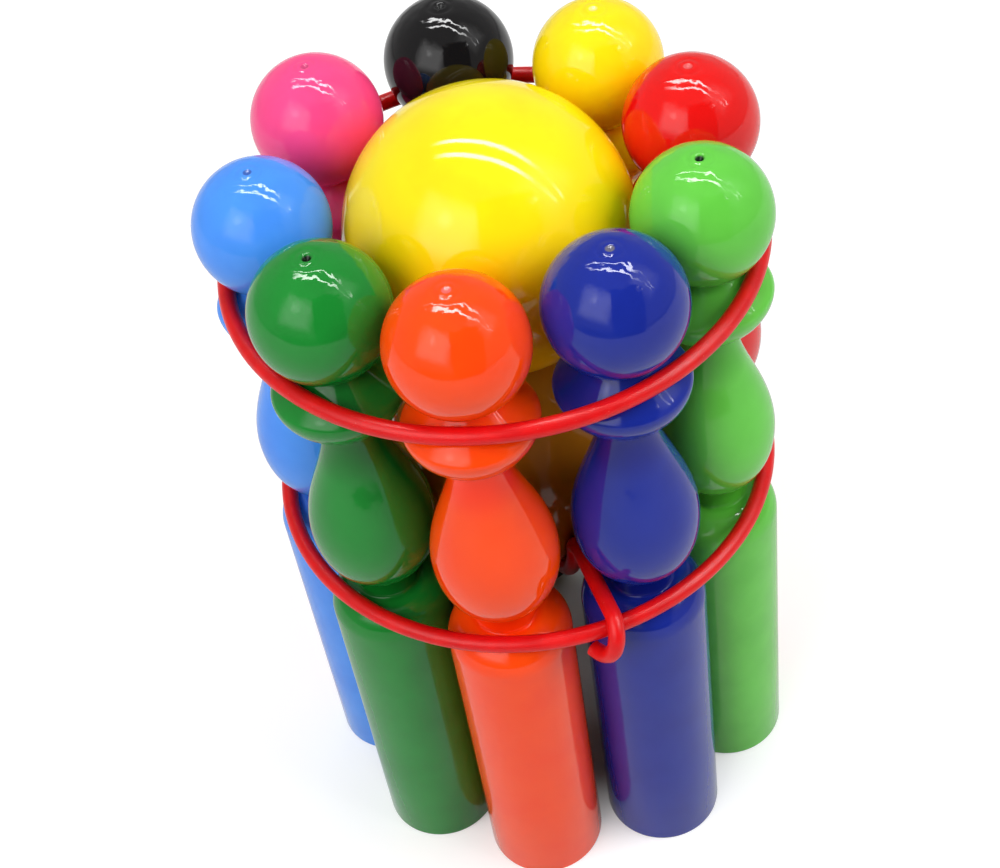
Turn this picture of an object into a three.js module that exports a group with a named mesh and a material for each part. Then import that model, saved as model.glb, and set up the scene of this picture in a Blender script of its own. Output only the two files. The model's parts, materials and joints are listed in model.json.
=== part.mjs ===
// A ninepins set, packed in its wire carrier as it stands on a table.
// Nine turned wooden pins stand in a ring round two wooden balls, one on top of the other. Two
// loose wire hoops lie in the pins' grooves and hold the ring together. Three wires are hooked over
// the lower hoop, pass between the pins, go down round the lower ball and meet in a small ring
// under it: they are the cradle that carries the balls.
// Millimetres, +Z up. The origin is on the floor in the middle of the ring, the front is -Y.

import * as THREE from "three";

// Clearances
const rest_gap = 0.3; // between two pieces that lie on each other
const pins_gap = 0.3; // between the widest turns of the two closest pins
const hoop_play = 1; // from the upper hoop to the heads above it
const hook_play = 0.9; // extra room for the hoop inside a hook, at the far side of its bend

// Sizes of one pin, from the floor up
const body_r = 13.5;
const foot_round = 0.8;
const body_height = 80.4;
const shoulder_height = 7.2;
const waist_r = 6.5;
const waist_height = 4.4;
const belly_r = 13.3;
const belly_low_height = 15.7; // from the waist to the widest turn of the belly
const belly_top_height = 28.9; // from there to the neck
const neck_r = 6;
const collar_r = 13.5;
const collar_low_height = 10.3; // from the neck to the collar's rim
const collar_top_height = 6.9; // from the rim to the head
const throat_r = 6.5; // where the head grows out of the collar
const head_r = 13.9;
const dimple_r = 0.9; // the mark of the lathe's centre on top of the head
const dimple_depth = 1.2;

// Sizes of the balls and of the wire
const ball_r = 30;
const ball_drop = 11.1; // the upper ball's centre lies this far below the heads' centres
const wire_r = 1.8; // one thickness of coated wire for the hoops and the cradle
const cradle_ring_r = 15; // centre line of the ring under the lower ball
const cradle_bend_r = 5; // where a cradle wire turns from level to down
const hook_turn = 186; // degrees that a hook turns round the hoop
const hook_drift = 4.9; // how far it moves sideways as it turns

// The pins' places round the ring, in degrees from the front toward +X, and their colours
const pins = [
  { name: "pin_orange", azimuth: -13, color: 0xf4552a },
  { name: "pin_dark_blue", azimuth: 26.5, color: 0x2b3aa0 },
  { name: "pin_light_green", azimuth: 64.5, color: 0x6fcf62 },
  { name: "pin_red", azimuth: 102, color: 0xe8201f },
  { name: "pin_yellow", azimuth: 140, color: 0xffd21c },
  { name: "pin_black", azimuth: 183, color: 0x161416 },
  { name: "pin_pink", azimuth: 225.5, color: 0xff4f98 },
  { name: "pin_light_blue", azimuth: 270.5, color: 0x4a90f4 },
  { name: "pin_dark_green", azimuth: 309.5, color: 0x1f8040 },
];

// Each cradle wire passes between the pin with this number and the next one, this share of the way
const cradle_wires = [
  { name: "cradle_wire_1", after_pin: 0, between_share: 0.64 },
  { name: "cradle_wire_2", after_pin: 3, between_share: 0.6 },
  { name: "cradle_wire_3", after_pin: 6, between_share: 0.6 },
];

// Steps round and along the turned and bent shapes
const pin_sides = 18;
const ball_sides = 24;
const wire_sides = 8;
const hoop_steps = 60;
const ring_steps = 36;
const hook_steps = 12;

// Outlines as pairs of shares: of the height of their stretch, then of its change of radius
const belly_low_shares = [
  [0.14, 0.26],
  [0.27, 0.56],
  [0.42, 0.79],
  [0.65, 0.94],
  [1, 1],
];
const belly_top_shares = [
  [0.2, 0.09],
  [0.43, 0.37],
  [0.65, 0.69],
  [0.84, 0.93],
  [1, 1],
];
const collar_low_shares = [
  [0.28, 0.4],
  [0.65, 0.82],
  [1, 1],
];
const collar_top_shares = [
  [0.25, 0.19],
  [0.46, 0.51],
  [1, 1],
];

// Heights that follow from the stretches of the pin
const waist_z = body_height + shoulder_height;
const belly_z = waist_z + waist_height;
const belly_wide_z = belly_z + belly_low_height;
const neck_z = belly_wide_z + belly_top_height;
const rim_z = neck_z + collar_low_height;
const throat_z = rim_z + collar_top_height;
const head_z = throat_z + Math.sqrt(head_r ** 2 - throat_r ** 2);

// Points on an arc of an ellipse, after its first point
function arc(center_r, center_z, size_r, size_z, from, to, steps) {
  const points = [];
  for (let i = 1; i <= steps; i++) {
    const angle = THREE.MathUtils.degToRad(from + ((to - from) * i) / steps);
    const r = center_r + size_r * Math.cos(angle);
    const z = center_z + size_z * Math.sin(angle);
    points.push(new THREE.Vector2(r, z));
  }
  return points;
}

// Points of an outline that rises from one radius to another by a table of shares
function outline(shares, from_r, from_z, to_r, height) {
  return shares.map(
    ([up, out]) => new THREE.Vector2(from_r + (to_r - from_r) * out, from_z + height * up),
  );
}

// The stretches of the pin that the hoops lie on
function shoulder_points() {
  return arc(waist_r, body_height, body_r - waist_r, shoulder_height, 0, 90, 5);
}

function collar_top_points() {
  return outline(collar_top_shares, collar_r, rim_z, throat_r, collar_top_height);
}

// The half outline of a pin, from the axis at the foot to the axis at the top of the head
function pin_outline() {
  const throat = THREE.MathUtils.radToDeg(Math.asin(throat_r / head_r));
  const dimple = THREE.MathUtils.radToDeg(Math.asin(dimple_r / head_r));
  const dimple_z = head_z + Math.sqrt(head_r ** 2 - dimple_r ** 2) - dimple_depth;
  return [
    new THREE.Vector2(0, 0),
    new THREE.Vector2(body_r - foot_round, 0),
    ...arc(body_r - foot_round, foot_round, foot_round, foot_round, -90, 0, 2),
    new THREE.Vector2(body_r, body_height),
    ...shoulder_points(),
    new THREE.Vector2(waist_r, belly_z),
    ...outline(belly_low_shares, waist_r, belly_z, belly_r, belly_low_height),
    ...outline(belly_top_shares, belly_r, belly_wide_z, neck_r, belly_top_height),
    ...outline(collar_low_shares, neck_r, neck_z, collar_r, collar_low_height),
    ...collar_top_points(),
    ...arc(0, head_z, head_r, head_r, throat - 90, 90 - dimple, 9),
    new THREE.Vector2(0, dimple_z),
  ];
}

// The height at which a round wire lies on an outline, at a distance from the pin's axis
function seat_height(points, reach) {
  const r = wire_r + rest_gap;
  const heights = [];
  for (const point of points) {
    const aside = Math.abs(point.x - reach);
    if (aside < r) heights.push(point.y + Math.sqrt(r ** 2 - aside ** 2));
  }
  for (let i = 1; i < points.length; i++) {
    const along = points[i].clone().sub(points[i - 1]);
    const out = new THREE.Vector2(along.y, -along.x).normalize().multiplyScalar(r);
    const share = (reach - points[i - 1].x - out.x) / along.x;
    if (share > 0 && share < 1) heights.push(points[i - 1].y + along.y * share + out.y);
  }
  return Math.max(...heights);
}

// How far out from a pin's axis a hoop lies: down the collar until it is clear of the head
function collar_reach() {
  const top = collar_top_points();
  const needed = head_r + wire_r + hoop_play;
  let near = throat_r;
  let far = collar_r;
  for (let i = 0; i < 40; i++) {
    const reach = (near + far) / 2;
    const clear = Math.hypot(reach, head_z - seat_height(top, reach));
    if (clear < needed) near = reach;
    else far = reach;
  }
  return far;
}

// The ring: wide enough for the balls to lift out and for the two closest pins to stand in it
const widest_r = Math.max(head_r, collar_r, belly_r, body_r);
const steps = pins.map((pin, i) => (pins[(i + 1) % pins.length].azimuth - pin.azimuth + 360) % 360);
const closest = THREE.MathUtils.degToRad(Math.min(...steps));
const ring_r = Math.max(
  ball_r + widest_r + rest_gap,
  (widest_r + pins_gap / 2) / Math.sin(closest / 2),
);

// The hoops, one in each groove, both of one size
const hoop_reach = Math.max(collar_reach(), waist_r + wire_r + rest_gap);
const hoop_r = ring_r + hoop_reach;
const upper_hoop_z = seat_height(collar_top_points(), hoop_reach);
const lower_hoop_z = seat_height(shoulder_points(), hoop_reach);

// The balls, and the ring that carries them
const upper_ball_z = head_z - ball_drop;
const lower_ball_z = upper_ball_z - 2 * ball_r - rest_gap;
const cradle_r = ball_r + wire_r + rest_gap;
const cradle_ring_z = lower_ball_z - Math.sqrt(cradle_r ** 2 - cradle_ring_r ** 2);

function lacquer(color) {
  return new THREE.MeshStandardMaterial({ color, roughness: 0.15, metalness: 0 });
}

function coated_wire() {
  return new THREE.MeshStandardMaterial({ color: 0xdc1a1e, roughness: 0.45, metalness: 0 });
}

// A round turn of the azimuth: 0 at the front, growing toward +X
function place(azimuth, r, z) {
  const angle = THREE.MathUtils.degToRad(azimuth);
  return new THREE.Vector3(r * Math.sin(angle), -r * Math.cos(angle), z);
}

function make_pin(pin) {
  const geometry = new THREE.LatheGeometry(pin_outline(), pin_sides);
  geometry.rotateX(Math.PI / 2);
  const mesh = new THREE.Mesh(geometry, lacquer(pin.color));
  mesh.name = pin.name;
  mesh.position.copy(place(pin.azimuth, ring_r, 0));
  return mesh;
}

function make_ball(name, z) {
  const geometry = new THREE.SphereGeometry(ball_r, ball_sides, (ball_sides * 2) / 3);
  geometry.rotateX(Math.PI / 2);
  const mesh = new THREE.Mesh(geometry, lacquer(0xffd60a));
  mesh.name = name;
  mesh.position.z = z;
  return mesh;
}

// A closed ring of wire that lies level
function make_ring(name, r, z, steps_round) {
  const geometry = new THREE.TorusGeometry(r, wire_r, wire_sides, steps_round);
  const mesh = new THREE.Mesh(geometry, coated_wire());
  mesh.name = name;
  mesh.position.z = z;
  return mesh;
}

// A route through given points, with one step of the wire at each of them
class Route extends THREE.Curve {
  constructor(points) {
    super();
    this.points = points;
  }
  getUtoTmapping(u) {
    return u;
  }
  getPoint(t, target = new THREE.Vector3()) {
    const last = this.points.length - 1;
    const i = Math.min(Math.floor(t * last), last - 1);
    return target.lerpVectors(this.points[i], this.points[i + 1], t * last - i);
  }
  getTangent(t, target = new THREE.Vector3()) {
    const last = this.points.length - 1;
    const i = Math.round(t * last);
    const before = this.points[i].clone().sub(this.points[Math.max(i - 1, 0)]).normalize();
    const after = this.points[Math.min(i + 1, last)].clone().sub(this.points[i]).normalize();
    return target.copy(before.add(after)).normalize();
  }
}

function wire_section() {
  const points = [];
  for (let i = 0; i < wire_sides; i++) {
    const angle = (2 * Math.PI * (i + 0.5)) / wire_sides;
    points.push(new THREE.Vector2(wire_r * Math.cos(angle), wire_r * Math.sin(angle)));
  }
  return new THREE.Shape(points);
}

// The inner half of a cradle wire, from the ring under the lower ball up to where it runs level:
// an arc that hugs the ball, at most up to its widest turn, and a bend the other way
function cradle_side(level_z) {
  const bend_z = level_z - cradle_bend_r;
  const below = Math.max(0, lower_ball_z - bend_z);
  const over_ring = Math.acos(cradle_ring_r / cradle_r) - (wire_r + rest_gap) / cradle_r;
  const leave = Math.min(Math.asin(below / (cradle_r + cradle_bend_r)), over_ring);
  const low = -THREE.MathUtils.radToDeg(over_ring);
  const high = -THREE.MathUtils.radToDeg(leave);
  const bend_center = (cradle_r + cradle_bend_r) * Math.cos(leave);
  const side = arc(0, lower_ball_z, cradle_r, cradle_r, low, low, 1);
  side.push(...arc(0, lower_ball_z, cradle_r, cradle_r, low, high, 8));
  if (below === 0) side.push(new THREE.Vector2(cradle_r, bend_z));
  side.push(...arc(bend_center, bend_z, cradle_bend_r, cradle_bend_r, 180 + high, 90, 6));
  return side;
}

// The route of a cradle wire: up round the lower ball, level between two pins, then over the
// lower hoop, round its outer side and back under it, more and more sideways
function cradle_wire_route(azimuth) {
  const level_z = lower_hoop_z + 2 * wire_r + rest_gap;
  const hook_r = 2 * wire_r + rest_gap + hook_play;
  const hook = arc(hoop_r, level_z - hook_r, hook_r, hook_r, 90, 90 - hook_turn, hook_steps);
  const aside = place(azimuth - 90, hook_drift, 0);
  return new Route([
    ...cradle_side(level_z).map((point) => place(azimuth, point.x, point.y)),
    place(azimuth, hoop_r, level_z),
    ...hook.map((point, i) => {
      const share = ((i + 1) / hook_steps) ** 1.5;
      return place(azimuth, point.x, point.y).addScaledVector(aside, share);
    }),
  ]);
}

function make_cradle_wire(wire) {
  const after = pins[wire.after_pin].azimuth;
  const azimuth = after + steps[wire.after_pin] * wire.between_share;
  const route = cradle_wire_route(azimuth);
  const geometry = new THREE.ExtrudeGeometry(wire_section(), {
    steps: route.points.length - 1,
    extrudePath: route,
  });
  const mesh = new THREE.Mesh(geometry, coated_wire());
  mesh.name = wire.name;
  return mesh;
}

const set = new THREE.Group();
set.name = "ninepins_set";

const carrier = new THREE.Group();
carrier.add(make_ring("upper_hoop", hoop_r, upper_hoop_z, hoop_steps));
carrier.add(make_ring("lower_hoop", hoop_r, lower_hoop_z, hoop_steps));
carrier.add(make_ring("cradle_ring", cradle_ring_r, cradle_ring_z, ring_steps));
for (const wire of cradle_wires) carrier.add(make_cradle_wire(wire));
set.add(carrier);

for (const pin of pins) set.add(make_pin(pin));
set.add(make_ball("upper_ball", upper_ball_z));
set.add(make_ball("lower_ball", lower_ball_z));

export default set;
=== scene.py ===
# %% [markdown]
# # A ninepins set in its wire carrier
# Nine turned wooden pins, each in its own lacquer, stand in a ring round two wooden balls, a yellow
# one on top of an amber one. Two hoops of coated wire lie in the pins' grooves, and a cradle of
# three wires, hooked over the lower hoop, carries the balls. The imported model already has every
# piece at its right size and place, but with few facets. This script gives each piece its smooth
# shape and its finish, and leaves the frame as it is.

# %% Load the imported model
import json
import math

import bpy
from mathutils import Matrix, Vector
from mathutils.geometry import interpolate_bezier

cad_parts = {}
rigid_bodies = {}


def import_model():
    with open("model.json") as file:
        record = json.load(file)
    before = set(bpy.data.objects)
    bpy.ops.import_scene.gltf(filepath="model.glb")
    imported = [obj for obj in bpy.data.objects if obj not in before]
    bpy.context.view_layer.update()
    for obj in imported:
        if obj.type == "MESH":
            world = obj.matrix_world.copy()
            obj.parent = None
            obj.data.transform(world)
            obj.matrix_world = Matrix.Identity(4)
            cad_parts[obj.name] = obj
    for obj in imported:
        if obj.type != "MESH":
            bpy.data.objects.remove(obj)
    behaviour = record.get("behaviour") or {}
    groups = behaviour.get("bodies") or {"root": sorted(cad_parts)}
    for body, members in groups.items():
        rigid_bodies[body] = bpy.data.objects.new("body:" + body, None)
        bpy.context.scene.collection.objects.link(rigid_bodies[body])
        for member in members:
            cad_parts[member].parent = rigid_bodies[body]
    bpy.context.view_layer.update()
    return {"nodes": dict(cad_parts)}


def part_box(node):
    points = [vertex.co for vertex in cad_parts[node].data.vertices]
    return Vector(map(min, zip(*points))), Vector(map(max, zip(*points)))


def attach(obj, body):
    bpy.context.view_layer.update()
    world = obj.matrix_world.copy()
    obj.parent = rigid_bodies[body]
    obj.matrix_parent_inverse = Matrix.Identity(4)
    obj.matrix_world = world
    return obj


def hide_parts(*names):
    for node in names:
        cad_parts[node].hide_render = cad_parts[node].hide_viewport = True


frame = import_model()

nodes = frame["nodes"]
print("nodes:", ", ".join(sorted(nodes)))

# %% [markdown]
# ## Sizes
# Blender works in metres, and the pins were turned in millimetres, so `mm` turns one into the
# other. Places and radii that the frame knows are read off the boxes of its nodes: then the smooth
# pieces can't drift away from the pieces they stand for.

# %% Read places and radii off the frame
mm = 0.001


def spread(node):
    low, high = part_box(node)
    return high - low


def middle(node):
    low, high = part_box(node)
    return (low + high) / 2


pin_names = [name for name in nodes if name.startswith("pin_")]
pin_top = spread(pin_names[0]).z
ring_r = middle(pin_names[0]).xy.length
ball_r = spread("upper_ball").z / 2
wire_r = spread("upper_hoop").z / 2
hoop_r = spread("upper_hoop").x / 2 - wire_r
cradle_ring_r = spread("cradle_ring").x / 2 - wire_r
print(f"pins {pin_top / mm:.1f} mm high on a ring of {ring_r / mm:.1f} mm, balls {ball_r / mm:.1f} mm,")
print(f"hoops {hoop_r / mm:.1f} mm and wire {wire_r / mm:.1f} mm in radius")

# %% [markdown]
# ## Turning on the lathe
# A turned piece is the same all the way round, so all of its shape is in half an outline. The
# outline could be a curve with a Screw modifier, but here it is drawn as the turner's template is:
# one point that is extruded from the foot to the top. Its inner corners are rounded a little, as
# the lacquer rounds them, and then it is spun once round the axis. Operators act on all that is
# selected, so each helper first selects what it means and nothing else.

# %% Helpers to start, mark, finish and copy a mesh
merge_distance = 0.001 * mm
same_place = 0.01 * mm


def start_point(name, place):
    """One vertex in edit mode: a small plane, merged into its middle."""
    bpy.ops.object.select_all(action="DESELECT")
    bpy.ops.mesh.primitive_plane_add(size=mm, location=place)
    bpy.context.object.name = name
    bpy.ops.object.mode_set(mode="EDIT")
    bpy.ops.mesh.merge(type="CENTER")


def extrude_to(here, there):
    bpy.ops.mesh.extrude_region_move(TRANSFORM_OT_translate={"value": Vector(there) - Vector(here)})


def select_vertices(test):
    """In edit mode, selects the vertices whose place in the frame passes the test."""
    bpy.ops.mesh.select_all(action="DESELECT")
    bpy.ops.object.mode_set(mode="OBJECT")
    piece = bpy.context.object
    for vertex in piece.data.vertices:
        vertex.select = test(piece.matrix_world @ vertex.co)
    bpy.ops.object.mode_set(mode="EDIT")


def close_and_smooth(sharp_from):
    """Leaves edit mode with a closed mesh that faces out, and shades it smooth.

    The mesh keeps its place and the object comes to the origin. Edges that bend by more than
    sharp_from degrees stay sharp.
    """
    bpy.ops.mesh.select_all(action="SELECT")
    bpy.ops.mesh.remove_doubles(threshold=merge_distance)
    bpy.ops.mesh.normals_make_consistent(inside=False)
    bpy.ops.object.mode_set(mode="OBJECT")
    bpy.ops.object.transform_apply(location=True, rotation=True, scale=True)
    bpy.ops.object.shade_smooth_by_angle(angle=math.radians(sharp_from))
    return bpy.context.object


def select_only(piece):
    bpy.ops.object.select_all(action="DESELECT")
    piece.select_set(True)
    bpy.context.view_layer.objects.active = piece


def copy_of(pattern, name):
    """A copy with a mesh of its own, selected alone."""
    select_only(pattern)
    bpy.ops.object.duplicate(linked=False)
    bpy.context.object.name = name
    return bpy.context.object


def turn(name, outline, sides, corners=(), corner_round=0):
    """Spins a half outline of (radius, height) round Z, with the given corners rounded."""
    places = [Vector((r, 0, z)) for r, z in outline]
    start_point(name, places[0])
    for here, there in zip(places, places[1:]):
        extrude_to(here, there)
    if corners:
        at_corner = [Vector((r, 0, z)) for r, z in corners]
        select_vertices(lambda place: min((place - c).length for c in at_corner) < same_place)
        bpy.ops.mesh.bevel(offset=corner_round, segments=3, affect="VERTICES")
    bpy.ops.mesh.select_all(action="SELECT")
    bpy.ops.mesh.spin(steps=sides, angle=2 * math.pi, center=(0, 0, 0), axis=(0, 0, 1))
    return close_and_smooth(sharp_from=40)


# %% [markdown]
# ## The pins' outline
# A pin has a straight body with a rounded shoulder, a narrow waist for the lower hoop, a belly like
# an egg, a thin neck, a collar for the upper hoop and a round head. Each stretch between two
# turning points is a Bezier curve or an arc, because a turner's gouge leaves one sweep there. The
# pulls are the handles of a Bezier curve, each seen from the end that it belongs to.

# %% Sizes of a pin
body_r = 13.5 * mm
foot_round = 0.8 * mm
body_height = 80.4 * mm
shoulder_height = 7.2 * mm
waist_r = 6.5 * mm
waist_height = 4.4 * mm
belly_r = 13.3 * mm
belly_low_height = 15.7 * mm
belly_top_height = 28.9 * mm
neck_r = 6 * mm
collar_r = 13.5 * mm
collar_low_height = 10.3 * mm
collar_top_height = 6.9 * mm
throat_r = 6.5 * mm
head_r = 13.9 * mm
mark_ring_r = 2.2 * mm
mark_ring_depth = 0.2 * mm
hole_r = 0.85 * mm
hole_depth = 1.2 * mm
corner_round = 0.7 * mm

belly_low_pulls = (2.9 * mm, 3 * mm), (0, -9.2 * mm)
belly_top_pulls = (0, 10.8 * mm), (0, -9.6 * mm)
collar_low_pulls = (2.6 * mm, 2 * mm), (0, -4.1 * mm)
collar_top_pulls = (0, 1.8 * mm), (3.8 * mm, -4.2 * mm)

waist_z = body_height + shoulder_height
belly_z = waist_z + waist_height
belly_wide_z = belly_z + belly_low_height
neck_z = belly_wide_z + belly_top_height
rim_z = neck_z + collar_low_height
throat_z = rim_z + collar_top_height
head_z = throat_z + math.sqrt(head_r**2 - throat_r**2)
head_top_z = head_z + head_r
print(f"head centre at {head_z / mm:.1f} mm, top at {head_top_z / mm:.1f} mm")


# %% Half the outline of a pin
def arc(center, size_r, size_z, first, last, steps):
    """Points of an elliptic arc after its first one, with its angles in degrees."""
    angles = [math.radians(first + (last - first) * i / steps) for i in range(1, steps + 1)]
    return [(center[0] + size_r * math.cos(a), center[1] + size_z * math.sin(a)) for a in angles]


def sweep(start, pulls, end, steps=14):
    """Points of one Bezier sweep after its start."""
    first, last = Vector(start), Vector(end)
    first_handle, last_handle = first + Vector(pulls[0]), last + Vector(pulls[1])
    curve = interpolate_bezier(first, first_handle, last_handle, last, steps + 1)
    return [(p.x, p.y) for p in curve[1:]]


def head_mark():
    """The print of the lathe's centre: a shallow ring, and a small hole in its middle."""
    slope_r = mark_ring_r * 1.25
    slope_drop = slope_r**2 / (2 * head_r)
    return [
        (slope_r, head_top_z - 0.7 * mark_ring_depth - slope_drop),
        (mark_ring_r, head_top_z - 2.4 * mark_ring_depth),
        (mark_ring_r * 0.8, head_top_z - 1.2 * mark_ring_depth),
        (hole_r * 1.5, head_top_z - mark_ring_depth),
        (hole_r * 1.1, head_top_z - 2 * mark_ring_depth),
        (hole_r * 0.8, head_top_z - hole_depth * 0.6),
        (hole_r * 0.3, head_top_z - hole_depth),
        (0, head_top_z - hole_depth),
    ]


def pin_outline():
    throat_angle = math.degrees(math.asin(throat_r / head_r))
    mark_angle = math.degrees(math.asin(mark_ring_r * 1.5 / head_r))
    return [
        (0, 0),
        (body_r - foot_round, 0),
        *arc((body_r - foot_round, foot_round), foot_round, foot_round, -90, 0, steps=5),
        (body_r, body_height / 3),
        (body_r, body_height * 2 / 3),
        (body_r, body_height),
        *arc((waist_r, body_height), body_r - waist_r, shoulder_height, 0, 90, steps=12),
        (waist_r, belly_z),
        *sweep((waist_r, belly_z), belly_low_pulls, (belly_r, belly_wide_z)),
        *sweep((belly_r, belly_wide_z), belly_top_pulls, (neck_r, neck_z), steps=20),
        *sweep((neck_r, neck_z), collar_low_pulls, (collar_r, rim_z)),
        *sweep((collar_r, rim_z), collar_top_pulls, (throat_r, throat_z)),
        *arc((0, head_z), head_r, head_r, throat_angle - 90, 90 - mark_angle, steps=44),
        *head_mark(),
    ]


inner_corners = [(waist_r, waist_z), (waist_r, belly_z), (neck_r, neck_z), (throat_r, throat_z)]
print(f"outline of {len(pin_outline())} points")

# %% [markdown]
# One pin is turned, and the nine are copies of it. Each copy is given a turn of its own round its
# axis, as if it was put down by hand, and then moved to its node's place. On some heads the lacquer
# has filled the hole, so its bottom is lifted there.

# %% Turn one pin and set out the nine
pin_sides = 96
open_holes = ["pin_dark_green", "pin_light_green", "pin_black"]
filled_share = 0.3
degrees_apart = 40
pattern = turn("pattern", pin_outline(), pin_sides, inner_corners, corner_round)
print("one pin:", len(pattern.data.polygons), "faces")

hole_mouth = (0, 0, head_top_z - mark_ring_depth)
turned = {}
for count, name in enumerate(pin_names):
    piece = copy_of(pattern, "turned_" + name)
    bpy.ops.object.mode_set(mode="EDIT")
    if name not in open_holes:
        select_vertices(lambda place: place.z > throat_z and place.xy.length < mark_ring_r * 0.9)
        bpy.ops.transform.resize(value=(1, 1, filled_share), center_override=hole_mouth)
    bpy.ops.mesh.select_all(action="SELECT")
    own_turn = math.radians(degrees_apart * count)
    bpy.ops.transform.rotate(value=own_turn, orient_axis="Z", center_override=(0, 0, 0))
    bpy.ops.transform.translate(value=(middle(name).x, middle(name).y, 0))
    bpy.ops.object.mode_set(mode="OBJECT")
    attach(piece, name)
    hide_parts(name)
    turned[name] = piece
bpy.data.objects.remove(pattern)
print("pins:", ", ".join(turned))

# %% [markdown]
# ## The balls
# The balls are turned too, so one is spun from half a circle and the other is its copy. Only the
# cap of the lower one can be seen, through the gaps between the pins. The lathe's mark lies
# underneath, where the upper ball rests on the lower one and the lower one in its small ring.

# %% Turn the two balls
ball_sides = 128


def ball_outline():
    mark_angle = math.degrees(math.asin(mark_ring_r / ball_r))
    return [
        (0, hole_depth - ball_r),
        (hole_r * 0.8, hole_depth * 0.6 - ball_r),
        (hole_r * 1.2, 2 * mark_ring_depth - ball_r),
        (mark_ring_r * 0.8, 1.5 * mark_ring_depth - ball_r),
        (mark_ring_r, -ball_r * math.cos(math.radians(mark_angle))),
        *arc((0, 0), ball_r, ball_r, mark_angle - 90, 90, steps=60)[:-1],
        (0, ball_r),
    ]


ball_pattern = turn("ball_pattern", ball_outline(), ball_sides)
balls = {}
for name in ("upper_ball", "lower_ball"):
    piece = copy_of(ball_pattern, "turned_" + name)
    bpy.ops.transform.translate(value=(0, 0, middle(name).z))
    bpy.ops.object.transform_apply(location=True, rotation=True, scale=True)
    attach(piece, name)
    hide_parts(name)
    balls[name] = piece
bpy.data.objects.remove(ball_pattern)
print("balls:", ", ".join(f"{name} at {middle(name).z / mm:.1f} mm" for name in balls))

# %% [markdown]
# ## Hoops and rings
# A hoop is a round wire bent to a circle and welded shut under its coating. A torus would be
# quicker, but a small circle that is spun round the axis shows how it was made, and the same
# function makes the little ring under the lower ball.

# %% Bend the closed rings
section_sides = 20
hoop_sides = 240
small_ring_sides = 120


def closed_ring(node, body, radius, sides):
    bpy.ops.object.select_all(action="DESELECT")
    bpy.ops.mesh.primitive_circle_add(
        vertices=section_sides,
        radius=wire_r,
        location=(radius, 0, middle(node).z),
        rotation=(math.pi / 2, 0, 0),
    )
    bpy.context.object.name = "coated_" + node
    bpy.ops.object.mode_set(mode="EDIT")
    bpy.ops.mesh.select_all(action="SELECT")
    bpy.ops.mesh.spin(steps=sides, angle=2 * math.pi, center=(0, 0, 0), axis=(0, 0, 1))
    piece = close_and_smooth(sharp_from=60)
    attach(piece, body)
    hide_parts(node)
    return piece


rings = [
    closed_ring("upper_hoop", "upper_hoop", hoop_r, hoop_sides),
    closed_ring("lower_hoop", "lower_hoop", hoop_r, hoop_sides),
    closed_ring("cradle_ring", "cradle", cradle_ring_r, small_ring_sides),
]
print("rings:", ", ".join(piece.name for piece in rings))

# %% [markdown]
# ## The hooked wires
# Each wire of the cradle starts at the small ring, hugs the lower ball, bends out to run level
# between two pins, and ends in a hook over the lower hoop. Its centre line is drawn first, as one
# point that is spun round each bend and extruded along the straight run. The hook drifts a little to
# one side as it goes round, as a wire that is bent by hand does. A curve with a round bevel then
# gives the line the wire's thickness, and it is made a mesh again so that its cut ends can be
# rounded.

# %% Draw the centre line of one wire
rest_gap = 0.3 * mm
hook_play = 0.9 * mm
cradle_bend_r = 5 * mm
hook_turn = 186
hook_drift = 4.9 * mm
drift_power = 1.5
hook_steps = 24

lower_ball_z = middle("lower_ball").z
level_z = middle("lower_hoop").z + 2 * wire_r + rest_gap
hook_r = 2 * wire_r + rest_gap + hook_play
cradle_r = ball_r + wire_r + rest_gap


def spin_point(center, degrees, steps):
    """Spins the selected end of the line in the XZ plane; a positive angle turns +X up to +Z."""
    bpy.ops.mesh.spin(steps=steps, angle=math.radians(degrees), center=center, axis=(0, 1, 0))


def draw_line(name):
    bend_z = level_z - cradle_bend_r
    under_ring = math.degrees(math.acos(cradle_ring_r / cradle_r))
    leave = math.asin((lower_ball_z - bend_z) / (cradle_r + cradle_bend_r))
    bend_center = ((cradle_r + cradle_bend_r) * math.cos(leave), 0, bend_z)
    start_point(name, (cradle_ring_r, 0, middle("cradle_ring").z))
    spin_point((0, 0, lower_ball_z), under_ring - math.degrees(leave), steps=20)
    spin_point(bend_center, math.degrees(leave) - 90, steps=14)
    extrude_to((bend_center[0], 0, level_z), (hoop_r, 0, level_z))
    drifted = 0
    for step in range(1, hook_steps + 1):
        drift = hook_drift * (step / hook_steps) ** drift_power
        spin_point((hoop_r, 0, level_z - hook_r), -hook_turn / hook_steps, steps=1)
        bpy.ops.transform.translate(value=(0, drifted - drift, 0))
        drifted = drift
    bpy.ops.mesh.select_all(action="SELECT")
    bpy.ops.mesh.remove_doubles(threshold=merge_distance)
    bpy.ops.object.mode_set(mode="OBJECT")
    bpy.ops.object.transform_apply(location=True, rotation=True, scale=True)
    return bpy.context.object


line = draw_line("line")
print("line:", len(line.data.vertices), "points")

# %% Give it thickness and round its ends
end_round = 0.7 * mm


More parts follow.
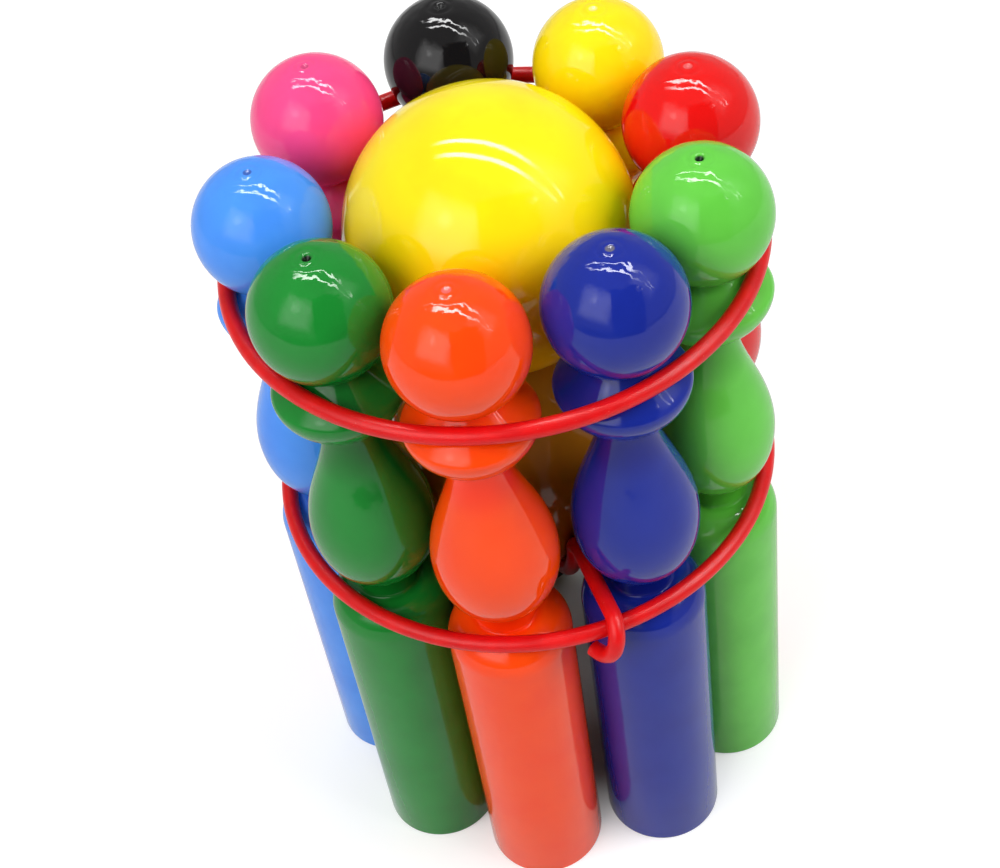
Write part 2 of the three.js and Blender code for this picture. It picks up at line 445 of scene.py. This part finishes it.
def thicken(line):
    select_only(line)
    bpy.ops.object.convert(target="CURVE")
    curve = bpy.context.object.data
    curve.bevel_depth = wire_r
    curve.bevel_resolution = 4
    curve.use_fill_caps = True
    bpy.ops.object.convert(target="MESH")
    bpy.ops.object.mode_set(mode="EDIT")
    bpy.ops.mesh.select_all(action="SELECT")
    bpy.ops.mesh.remove_doubles(threshold=merge_distance)
    bpy.ops.mesh.normals_make_consistent(inside=False)
    bpy.ops.mesh.select_mode(type="FACE")
    bpy.ops.mesh.select_all(action="DESELECT")
    bpy.ops.mesh.select_face_by_sides(number=4, type="GREATER")
    bpy.ops.mesh.region_to_loop()
    bpy.ops.mesh.bevel(offset=end_round, segments=3, affect="EDGES")
    bpy.ops.mesh.select_mode(type="VERT")
    return close_and_smooth(sharp_from=50)


wire_pattern = thicken(line)
print("wire:", len(wire_pattern.data.polygons), "faces,", wire_pattern.dimensions / mm)

# %% [markdown]
# The wires pass between the orange and the dark blue pin, the red and the yellow one, and the pink
# and the light blue one. The line was drawn in the XZ plane, so each copy is turned to its own
# direction, which lies a share of the way from one pin to the next. With no window open, the
# operator turns the other way round, hence the minus sign.

# %% Set out the three wires
wire_places = [
    ("cradle_wire_1", "pin_orange", "pin_dark_blue", 0.64),
    ("cradle_wire_2", "pin_red", "pin_yellow", 0.6),
    ("cradle_wire_3", "pin_pink", "pin_light_blue", 0.6),
]


def direction(name):
    """The angle of a node round Z, from +X."""
    return math.atan2(middle(name).y, middle(name).x)


hooked = []
for node, before, after, share in wire_places:
    between = (direction(after) - direction(before)) % (2 * math.pi)
    piece = copy_of(wire_pattern, node.replace("cradle_wire", "hooked_wire"))
    bpy.ops.object.mode_set(mode="EDIT")
    bpy.ops.mesh.select_all(action="SELECT")
    turn_back = -(direction(before) + between * share)
    bpy.ops.transform.rotate(value=turn_back, orient_axis="Z", center_override=(0, 0, 0))
    bpy.ops.object.mode_set(mode="OBJECT")
    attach(piece, "cradle")
    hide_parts(node)
    hooked.append(piece)
bpy.data.objects.remove(wire_pattern)
print("wires:", ", ".join(piece.name for piece in hooked))

# %% [markdown]
# ## Node helpers
# A material is a small tree of nodes. These helpers add a node, set its sockets and link it in one
# call, so that each material below reads as a list of what its finish is made of. What several
# finishes share is a node group, which puts out only masks, heights and colours.

# %% Helpers for node trees
def add(tree, kind, settings=None, **inputs):
    """Adds a node, with its settings, and sets or links its inputs, named or numbered as _0, _1."""
    node = tree.nodes.new(kind)
    for key, value in (settings or {}).items():
        setattr(node, key, value)
    for key, value in inputs.items():
        socket = node.inputs[int(key[1:])] if key[0] == "_" else node.inputs[key.replace("_", " ")]
        if isinstance(value, bpy.types.NodeSocket):
            tree.links.new(value, socket)
        else:
            socket.default_value = value
    return node


def calc(tree, operation, *values):
    numbered = {f"_{i}": value for i, value in enumerate(values)}
    return add(tree, "ShaderNodeMath", {"operation": operation}, **numbered).outputs[0]


def length(tree, vector):
    return add(tree, "ShaderNodeVectorMath", {"operation": "LENGTH"}, _0=vector).outputs["Value"]


def fade(tree, value, low, high, to_low=0.0, to_high=1.0):
    """A smooth step: to_low below low and to_high above high."""
    settings = {"interpolation_type": "SMOOTHSTEP"}
    sizes = {"_0": value, "_1": low, "_2": high, "_3": to_low, "_4": to_high}
    return add(tree, "ShaderNodeMapRange", settings, **sizes).outputs[0]


def noise(tree, place, scale, detail, roughness=0.5):
    inputs = {"Vector": place, "Scale": scale, "Detail": detail, "Roughness": roughness}
    return add(tree, "ShaderNodeTexNoise", **inputs).outputs[0]


def mix_colors(tree, share, first, second):
    return add(tree, "ShaderNodeMix", {"data_type": "RGBA"}, _0=share, _6=first, _7=second).outputs[2]


def bump(tree, strength, distance, height, **inputs):
    node = add(tree, "ShaderNodeBump", Strength=strength, Distance=distance, Height=height, **inputs)
    return node.outputs[0]


def new_group(name, inputs, outputs):
    tree = bpy.data.node_groups.new(name, "ShaderNodeTree")
    for label, kind, value in inputs:
        socket = tree.interface.new_socket(name=label, in_out="INPUT", socket_type=kind)
        socket.default_value = value
    for label, kind in outputs:
        tree.interface.new_socket(name=label, in_out="OUTPUT", socket_type=kind)
    return tree, tree.nodes.new("NodeGroupInput"), tree.nodes.new("NodeGroupOutput")


def use_group(tree, group, **inputs):
    return add(tree, "ShaderNodeGroup", {"node_tree": group}, **inputs)


# %% [markdown]
# ## Groups of nodes
# `Turned surface` knows a piece that was turned round its own axis: how far a point lies from the
# axis, the fine rings that the gouge leaves, and the slow ripples of thick lacquer over them.
# `Lacquer coat` paints it: a colour that is never quite even, with painted shade in a deeper tone
# where its Shade mask asks. `Handled gloss` makes the polish a little uneven, as fingers do.

# %% Turned surface
def turned_surface():
    inputs = [
        ("Vector", "NodeSocketVector", (0, 0, 0)),
        ("Ring size", "NodeSocketFloat", 1),
        ("Ripple size", "NodeSocketFloat", 1),
    ]
    outputs = [
        ("Radius", "NodeSocketFloat"),
        ("Rings", "NodeSocketFloat"),
        ("Ripples", "NodeSocketFloat"),
    ]
    tree, given, made = new_group("Turned surface", inputs, outputs)
    place = given.outputs["Vector"]
    split = add(tree, "ShaderNodeSeparateXYZ", _0=place)
    flat = add(tree, "ShaderNodeCombineXYZ", _0=split.outputs[0], _1=split.outputs[1])
    radius = length(tree, flat.outputs[0])
    section = add(tree, "ShaderNodeCombineXYZ", _0=radius, _1=split.outputs[2]).outputs[0]
    rings_scale = calc(tree, "DIVIDE", 1, given.outputs["Ring size"])
    ripples_scale = calc(tree, "DIVIDE", 1, given.outputs["Ripple size"])
    rings = noise(tree, section, rings_scale, detail=3)
    ripples = noise(tree, place, ripples_scale, detail=2, roughness=0.3)
    tree.links.new(radius, made.inputs["Radius"])
    tree.links.new(rings, made.inputs["Rings"])
    tree.links.new(ripples, made.inputs["Ripples"])
    return tree


turned_surface_group = turned_surface()
print("group:", turned_surface_group.name)


# %% Lacquer coat
def lacquer_coat():
    inputs = [
        ("Vector", "NodeSocketVector", (0, 0, 0)),
        ("Color", "NodeSocketColor", (1, 1, 1, 1)),
        ("Deep color", "NodeSocketColor", (0.5, 0.5, 0.5, 1)),
        ("Gathered", "NodeSocketFloat", 0),
    ]
    tree, given, made = new_group("Lacquer coat", inputs, [("Color", "NodeSocketColor")])
    cloud = noise(tree, given.outputs["Vector"], scale=70, detail=3)
    clouds = fade(tree, cloud, 0.3, 0.75, to_low=0, to_high=0.28)
    # The Shade input is painted shade: the deeper colour is painted in where it is high.
    share = calc(tree, "MAXIMUM", clouds, given.outputs["Gathered"])
    painted = mix_colors(tree, share, given.outputs["Color"], given.outputs["Deep color"])
    tree.links.new(painted, made.inputs["Color"])
    return tree


lacquer_coat_group = lacquer_coat()
print("group:", lacquer_coat_group.name)


# %% Handled gloss
def handled_gloss():
    inputs = [
        ("Vector", "NodeSocketVector", (0, 0, 0)),
        ("Polished", "NodeSocketFloat", 0.05),
        ("Worn", "NodeSocketFloat", 0.1),
    ]
    tree, given, made = new_group("Handled gloss", inputs, [("Roughness", "NodeSocketFloat")])
    smear = noise(tree, given.outputs["Vector"], scale=120, detail=4, roughness=0.6)
    touched = fade(tree, smear, 0.45, 0.7)
    span = calc(tree, "SUBTRACT", given.outputs["Worn"], given.outputs["Polished"])
    rough = calc(tree, "ADD", given.outputs["Polished"], calc(tree, "MULTIPLY", touched, span))
    tree.links.new(rough, made.inputs["Roughness"])
    return tree


handled_gloss_group = handled_gloss()
print("group:", handled_gloss_group.name)

# %% [markdown]
# ## Lacquered wood
# The lacquer is opaque and very glossy, so the wood under it shows only in the surface: rings of
# the gouge, ripples where the film has run, and stronger ripples over the end grain on top of a
# head. One function makes the finish of all nine pins. A Mapping node moves the pattern's origin
# to the pin's own axis, because the rings go round that axis.

# %% The lacquer of the pins
lacquer_ior = 1.42


def principled(name):
    material = bpy.data.materials.new(name)
    material.use_nodes = True
    shader = material.node_tree.nodes["Principled BSDF"]
    place = material.node_tree.nodes.new("ShaderNodeTexCoord").outputs["Object"]
    return material, material.node_tree, shader, place


def pin_lacquer(name, axis, color, deep, mark_color):
    material, tree, shader, place = principled(name)
    centred = add(tree, "ShaderNodeMapping", Vector=place, Location=(-axis.x, -axis.y, 0)).outputs[0]
    height = add(tree, "ShaderNodeSeparateXYZ", _0=centred).outputs[2]
    sizes = {"Ring_size": 0.7 * mm, "Ripple_size": 2.3 * mm}
    surface = use_group(tree, turned_surface_group, Vector=centred, **sizes)
    radius = surface.outputs["Radius"]

    # Painted shade in the grooves: the lacquer deepens near the axis below the head.
    below_head = fade(tree, height, throat_z, throat_z + 2 * mm, to_low=1, to_high=0)
    near_axis = fade(tree, radius, neck_r, neck_r + 3 * mm, to_low=0.75, to_high=0)
    groove_shade = calc(tree, "MULTIPLY", near_axis, below_head)
    paint = {"Color": (*color, 1), "Deep_color": (*deep, 1), "Gathered": groove_shade}
    coat = use_group(tree, lacquer_coat_group, Vector=centred, **paint)
    on_top = fade(tree, height, head_top_z - 3 * mm, head_top_z - 2.4 * mm)
    # The mark's colour: in an open hole its dark tone is painted shade.
    near_hole = fade(tree, radius, hole_r * 0.8, hole_r * 1.25, to_low=1, to_high=0)
    in_hole = calc(tree, "MULTIPLY", near_hole, on_top)
    painted = mix_colors(tree, in_hole, coat.outputs[0], (*mark_color, 1))
    tree.links.new(painted, shader.inputs["Base Color"])

    gloss = use_group(tree, handled_gloss_group, Vector=centred, Polished=0.035, Worn=0.085)
    tree.links.new(gloss.outputs[0], shader.inputs["Roughness"])

    end_grain = fade(tree, height, head_z + head_r * 0.45, head_z + head_r * 0.95, to_low=0.12)
    waves = calc(tree, "MULTIPLY", surface.outputs["Ripples"], end_grain)
    rippled = bump(tree, 1, 0.16 * mm, waves)
    ringed = bump(tree, 0.5, 0.004 * mm, surface.outputs["Rings"], Normal=rippled)
    tree.links.new(ringed, shader.inputs["Normal"])
    shader.inputs["IOR"].default_value = lacquer_ior
    return material


# %% [markdown]
# The colours are those of the photographed set. Each has a deeper tone, painted as shade in the
# grooves, and the colour that shows in the lathe's mark: dark where the hole is open, which paints
# the shade in the hole, and a paler tone of its own where lacquer has filled it.

# %% Paint the nine pins
pin_colors = {
    "pin_orange": ((1.0, 0.072, 0.002), (0.95, 0.022, 0.001), (0.85, 0.14, 0.12)),
    "pin_dark_blue": ((0.008, 0.024, 0.3), (0.004, 0.007, 0.17), (0.14, 0.13, 0.18)),
    "pin_light_green": ((0.14, 0.62, 0.066), (0.055, 0.36, 0.015), (0.003, 0.015, 0.004)),
    "pin_red": ((0.8, 0.005, 0.004), (0.55, 0.002, 0.002), (0.75, 0.1, 0.1)),
    "pin_yellow": ((1.0, 0.8, 0.004), (0.97, 0.42, 0.0), (1.0, 0.82, 0.2)),
    "pin_black": ((0.004, 0.0035, 0.004), (0.0015, 0.001, 0.0015), (0.025, 0.025, 0.025)),
    "pin_pink": ((1.0, 0.075, 0.27), (0.85, 0.014, 0.1), (0.6, 0.05, 0.18)),
    "pin_light_blue": ((0.07, 0.31, 0.96), (0.025, 0.13, 0.7), (0.04, 0.12, 0.45)),
    "pin_dark_green": ((0.009, 0.25, 0.028), (0.002, 0.11, 0.009), (0.003, 0.009, 0.003)),
}
for name, (color, deep, mark_color) in pin_colors.items():
    slot_name = name.replace("pin_", "lacquer_")
    turned[name].data.materials.clear()
    turned[name].data.materials.append(pin_lacquer(slot_name, middle(name), color, deep, mark_color))
print("painted:", ", ".join(pin_colors))

# %% [markdown]
# The balls' lacquer is smoother, with only long slow ripples. The upper ball turns from a lemon
# yellow on top to a warm yellow below, as painted shade. Each ball has a material of its own,
# because that turn lies round its own middle. What shows of the lower ball in the gaps is
# browner, so it has a dull amber: partly its own colour, and partly painted shade for the deep
# shade that lies on it between the pins.

# %% The lacquer of the balls
def ball_lacquer(name, center, color, deep):
    material, tree, shader, place = principled(name)
    centred = add(tree, "ShaderNodeMapping", Vector=place, Location=-center).outputs[0]
    height = add(tree, "ShaderNodeSeparateXYZ", _0=centred).outputs[2]
    sizes = {"Ring_size": 1.1 * mm, "Ripple_size": 9 * mm}
    surface = use_group(tree, turned_surface_group, Vector=centred, **sizes)
    # Painted shade: the colour deepens toward the bottom of the ball.
    shade_below = fade(tree, height, -ball_r * 0.15, ball_r, to_low=0.95, to_high=0)
    paint = {"Color": (*color, 1), "Deep_color": (*deep, 1), "Gathered": shade_below}
    coat = use_group(tree, lacquer_coat_group, Vector=centred, **paint)
    tree.links.new(coat.outputs[0], shader.inputs["Base Color"])
    gloss = use_group(tree, handled_gloss_group, Vector=centred, Polished=0.04, Worn=0.075)
    tree.links.new(gloss.outputs[0], shader.inputs["Roughness"])
    rippled = bump(tree, 1, 0.05 * mm, surface.outputs["Ripples"])
    ringed = bump(tree, 0.4, 0.003 * mm, surface.outputs["Rings"], Normal=rippled)
    tree.links.new(ringed, shader.inputs["Normal"])
    shader.inputs["IOR"].default_value = lacquer_ior
    return material


# The lower ball's dull amber is partly painted shade.
ball_colors = {
    "upper_ball": ((1, 0.84, 0.004), (1, 0.45, 0.001)),
    "lower_ball": ((0.42, 0.155, 0.008), (0.34, 0.1, 0.005)),
}
for name, ball in balls.items():
    ball.data.materials.clear()
    ball.data.materials.append(ball_lacquer("lacquer_" + name, middle(name), *ball_colors[name]))
print("painted:", ", ".join(balls))

# %% [markdown]
# ## Coated wire
# The wire is dipped in soft red plastic. Its surface is satin, a little uneven along its length,
# and it has pale specks, partly dust and partly painted glints of light.

# %% The plastic coat of the wires
wire_ior = 1.38
wire_red = (0.78, 0.005, 0.006, 1)
wire_deep_red = (0.66, 0.003, 0.005, 1)
dust_and_glint_color = (0.85, 0.25, 0.22, 1)


def wire_coating():
    material, tree, shader, place = principled("coated_wire")
    clouds = fade(tree, noise(tree, place, scale=160, detail=3), 0.35, 0.7)
    worn = mix_colors(tree, clouds, wire_red, wire_deep_red)
    # Pale specks: partly dust, and partly painted glints.
    dust = noise(tree, place, scale=2600, detail=2, roughness=0.6)
    specks = fade(tree, dust, 0.70, 0.76, to_low=0, to_high=0.5)
    dust_and_glints = mix_colors(tree, specks, worn, dust_and_glint_color)
    tree.links.new(dust_and_glints, shader.inputs["Base Color"])
    gloss = use_group(tree, handled_gloss_group, Vector=place, Polished=0.3, Worn=0.42)
    tree.links.new(gloss.outputs[0], shader.inputs["Roughness"])
    waves = calc(tree, "MULTIPLY", noise(tree, place, scale=220, detail=2), 4)
    grain = calc(tree, "ADD", noise(tree, place, scale=1500, detail=2), waves)
    skin = bump(tree, 1, 0.012 * mm, grain)
    tree.links.new(skin, shader.inputs["Normal"])
    shader.inputs["IOR"].default_value = wire_ior
    return material


coated_wire = wire_coating()
for piece in rings + hooked:
    piece.data.materials.clear()
    piece.data.materials.append(coated_wire)
print("coated:", len(rings + hooked), "wires")

# %% [markdown]
# ## The camera
# The photograph looks down on the set from the front with a tilted camera. A point that it looks
# at, a distance, a height angle and a roll say the same as a location and three angles would, and
# each of them can be judged by eye.

# %% Set up the camera
look_at = Vector((-0.0044, -0.0345, 0.1322))
camera_distance = 0.3591
camera_elevation = math.radians(46.675)
camera_roll = math.radians(9.742)
lens_mm = 65.47

camera = bpy.data.objects.new("camera", bpy.data.cameras.new("camera"))
bpy.context.scene.collection.objects.link(camera)
tilt = Matrix.Rotation(math.pi / 2 - camera_elevation, 4, "X")
turn_about_view = Matrix.Rotation(-camera_roll, 4, "Z")
back = tilt @ Vector((0, 0, 1))
camera.matrix_world = Matrix.Translation(look_at + back * camera_distance) @ tilt @ turn_about_view
camera.data.lens = lens_mm
camera.data.sensor_width = 36
camera.data.shift_x = -0.0028
camera.data.shift_y = -0.0011
camera.data.clip_start = 0.01
bpy.context.scene.camera = camera
print("camera at", [round(value, 4) for value in camera.matrix_world.translation])

# %% [markdown]
# ## The studio
# The set stands on a white table in a light room. Both show white to the camera, and dimmer to
# reflections, as a room is dimmer than its windows. The floor is lit by the lamps alone, so it
# keeps the shadows, and under the set its glow is taken away, which paints the set's shade there.
# Farther out its glow grows, because the lamps reach less there.

# %% Floor and world
floor_tone = (0.55, 0.55, 0.55, 1)
floor_glow_seen = 0.54
floor_glow_mirrored = 0.22
glow_grows_from = 0.3
glow_is_full_at = 1.5
room_light = 0.16
room_mirrored = 0.45
white = (1, 1, 1, 1)


def backdrop_factor(tree):
    """1 for what the camera, a reflection or a refraction sees, and 0 for light on the scene."""
    rays = tree.nodes.new("ShaderNodeLightPath").outputs
    glossy_or_camera = calc(tree, "MAXIMUM", rays["Is Camera Ray"], rays["Is Glossy Ray"])
    return calc(tree, "MAXIMUM", glossy_or_camera, rays["Is Transmission Ray"])


def seen_or_mirrored(tree, seen, mirrored):
    """One strength for the camera, and another one for reflections."""
    to_camera = tree.nodes.new("ShaderNodeLightPath").outputs["Is Camera Ray"]
    return fade(tree, to_camera, 0, 1, to_low=mirrored, to_high=seen)


def floor_material():
    material, tree, shader, place = principled("white_table")
    shader.inputs["Base Color"].default_value = floor_tone
    shader.inputs["Roughness"].default_value = 0.9
    shader.inputs["Specular IOR Level"].default_value = 0
    from_axis = length(tree, place)
    # Painted shade: the glow is taken away under the set, where its shade lies.
    clear_of_set_shade = fade(tree, from_axis, ring_r - body_r, ring_r + body_r)
    seen_glow = fade(tree, from_axis, glow_grows_from, glow_is_full_at, to_low=floor_glow_seen)
    glow_strength = seen_or_mirrored(tree, seen_glow, floor_glow_mirrored)
    strength = calc(tree, "MULTIPLY", clear_of_set_shade, glow_strength)
    glow = add(tree, "ShaderNodeEmission", Color=white, Strength=strength).outputs[0]
    lit = add(tree, "ShaderNodeAddShader", _0=shader.outputs[0], _1=glow).outputs[0]
    seen = add(tree, "ShaderNodeMixShader", _0=backdrop_factor(tree), _1=shader.outputs[0], _2=lit)
    tree.links.new(seen.outputs[0], tree.nodes["Material Output"].inputs["Surface"])
    return material


def light_room():
    world = bpy.data.worlds.new("light_room")
    world.use_nodes = True
    tree = world.node_tree
    light = tree.nodes["Background"]
    light.inputs["Color"].default_value = white
    light.inputs["Strength"].default_value = room_light
    strength = seen_or_mirrored(tree, 1, room_mirrored)
    seen = add(tree, "ShaderNodeBackground", Color=white, Strength=strength).outputs[0]
    both = add(tree, "ShaderNodeMixShader", _0=backdrop_factor(tree), _1=light.outputs[0], _2=seen)
    tree.links.new(both.outputs[0], tree.nodes["World Output"].inputs["Surface"])
    return world


bpy.ops.object.select_all(action="DESELECT")
bpy.ops.mesh.primitive_plane_add(size=8)
floor = bpy.context.object
floor.name = "floor"
floor.data.materials.append(floor_material())
bpy.context.scene.world = light_room()
print("stage:", floor.name, "and", bpy.context.scene.world.name)

# %% [markdown]
# Two long tubes hang overhead. A window to the left, pale walls to the right and behind, and the
# ceiling are large soft lamps, so that the set is also lit evenly from behind. Reflections don't
# see them, because the cards below draw them there with softer edges. Only a small lamp to the
# right is mirrored itself, as a bright fleck on the heads.

# %% Lamps
set_middle = Vector((0, 0, 0.12))
tube_turn = -25.5
tube_power = 3.4


def from_set(azimuth, elevation, distance):
    """A place seen from the middle of the set: azimuth from the front toward +X, in degrees."""
    around, up = math.radians(azimuth), math.radians(elevation)
    level = distance * math.cos(up)
    sideways, forward = level * math.sin(around), -level * math.cos(around)
    return set_middle + Vector((sideways, forward, distance * math.sin(up)))


def aimed(place, target, turned_by=0):
    """The matrix of a lamp or card at a place, with its face toward a target."""
    aim = (Vector(place) - Vector(target)).to_track_quat("Z", "Y").to_matrix().to_4x4()
    return Matrix.Translation(place) @ aim @ Matrix.Rotation(math.radians(turned_by), 4, "Z")


def lamp(name, matrix, size, power, mirrored=False):
    data = bpy.data.lights.new(name, "AREA")
    data.shape = "RECTANGLE"
    data.size, data.size_y = size
    data.energy = power
    light = bpy.data.objects.new(name, data)
    bpy.context.scene.collection.objects.link(light)
    light.matrix_world = matrix
    light.visible_camera = False
    light.visible_glossy = mirrored
    print(name, [round(value, 2) for value in light.matrix_world.translation])


tube_places = {
    "tube_back": ((0.89, 0.06, 1.5), (3.7, 0.05)),
    "tube_front": ((0.72, -0.2, 1.5), (3.3, 0.05)),
}
tubes = {}
for name, (place, size) in tube_places.items():
    straight_down = (place[0], place[1], 0)
    tubes[name] = aimed(place, straight_down, tube_turn)
    lamp(name, tubes[name], size, tube_power)
lamp("ceiling", aimed((0, 0.3, 1.9), set_middle), (2.0, 1.4), power=4.2)
lamp("window", aimed(from_set(-52, 38, 1.5), set_middle), (1.3, 1.2), power=18)
lamp("wall", aimed(from_set(70, 36, 1.6), set_middle), (1.1, 1.1), power=15)
lamp("back_wall", aimed(from_set(165, 32, 1.7), set_middle), (1.2, 1.0), power=7)
fleck_place = aimed(from_set(53, 46, 1.5), set_middle)
lamp("small_right", fleck_place, (0.13, 0.1), power=0.5, mirrored=True)

# %% [markdown]
# What a glossy piece mirrors gives it its shape. The tubes draw two thin lines on each head, and the
# window a pale patch with a round glow in it. The unlit side of the room shows as a dark wedge, and
# the far end of the table as a dark band below it. These are cards that only reflections see. Their
# own coordinates run from -0.5 to 0.5 across the card, and the edge fades out in a share of that.

# %% Cards that only reflections see
tube_card_width = 0.1


def card_material(name, strength, edge_share, opacity, round_edge):
    """An even glow that fades out toward the card's edge, or toward a circle's edge."""
    material, tree, shader, place = principled(name)
    tree.nodes.remove(shader)
    if round_edge:
        from_middle = length(tree, place)
    else:
        split = add(tree, "ShaderNodeSeparateXYZ", _0=place)
        across, along = (calc(tree, "ABSOLUTE", split.outputs[i]) for i in (0, 1))
        from_middle = calc(tree, "MAXIMUM", across, along)
    inside = fade(tree, from_middle, 0.5 - edge_share, 0.5, to_low=opacity, to_high=0)
    glow = add(tree, "ShaderNodeEmission", Color=white, Strength=strength)
    clear = tree.nodes.new("ShaderNodeBsdfTransparent")
    both = add(tree, "ShaderNodeMixShader", _0=inside, _1=clear.outputs[0], _2=glow.outputs[0])
    tree.links.new(both.outputs[0], tree.nodes["Material Output"].inputs["Surface"])
    return material


def mirrored_card(name, matrix, size, strength, edge_share, opacity=1, round_edge=False):
    bpy.ops.object.select_all(action="DESELECT")
    bpy.ops.mesh.primitive_plane_add(size=1)
    card = bpy.context.object
    card.name = name
    card.matrix_world = matrix @ Matrix.Diagonal((*size, 1, 1))
    for side in ("visible_camera", "visible_diffuse", "visible_shadow", "visible_transmission"):
        setattr(card, side, False)
    card.data.materials.append(card_material(name, strength, edge_share, opacity, round_edge))
    print("card:", name)


for name, (place, size) in tube_places.items():
    mirrored_card("mirrored_" + name, tubes[name], (size[0], tube_card_width), 24, edge_share=0.15)

wedge_place = aimed(from_set(16, 29, 0.8), set_middle, -10)
mirrored_card("dark_wedge", wedge_place, (0.78, 1.18), 0.1, edge_share=0.09, opacity=0.95)
table_place = aimed(from_set(-18, -6, 1.1), set_middle)
mirrored_card("table_end", table_place, (2.6, 0.66), 0.15, edge_share=0.28, opacity=0.8)
curtain_place = aimed(from_set(-42, 38, 1.3), set_middle)
mirrored_card("curtain", curtain_place, (1.5, 1.3), 2.4, edge_share=0.3)
wall_place = aimed(from_set(78, 46, 1.4), set_middle)
mirrored_card("pale_wall", wall_place, (1.3, 1.3), 1.5, edge_share=0.45)
glow_place = aimed(from_set(-47, 45, 1.1), set_middle)
mirrored_card("round_glow", glow_place, (0.34, 0.34), 4.5, edge_share=0.48, round_edge=True)

# %% [markdown]
# A new file holds a cube, a lamp and a camera of its own, which have no place here. The Standard
# view shows each colour as it is written.

# %% Take away what a new file holds, and set the view
for name in ("Cube", "Light", "Camera"):
    if name in bpy.data.objects:
        bpy.data.objects.remove(bpy.data.objects[name])
bpy.context.scene.view_settings.view_transform = "Standard"
print("view:", bpy.context.scene.view_settings.view_transform)
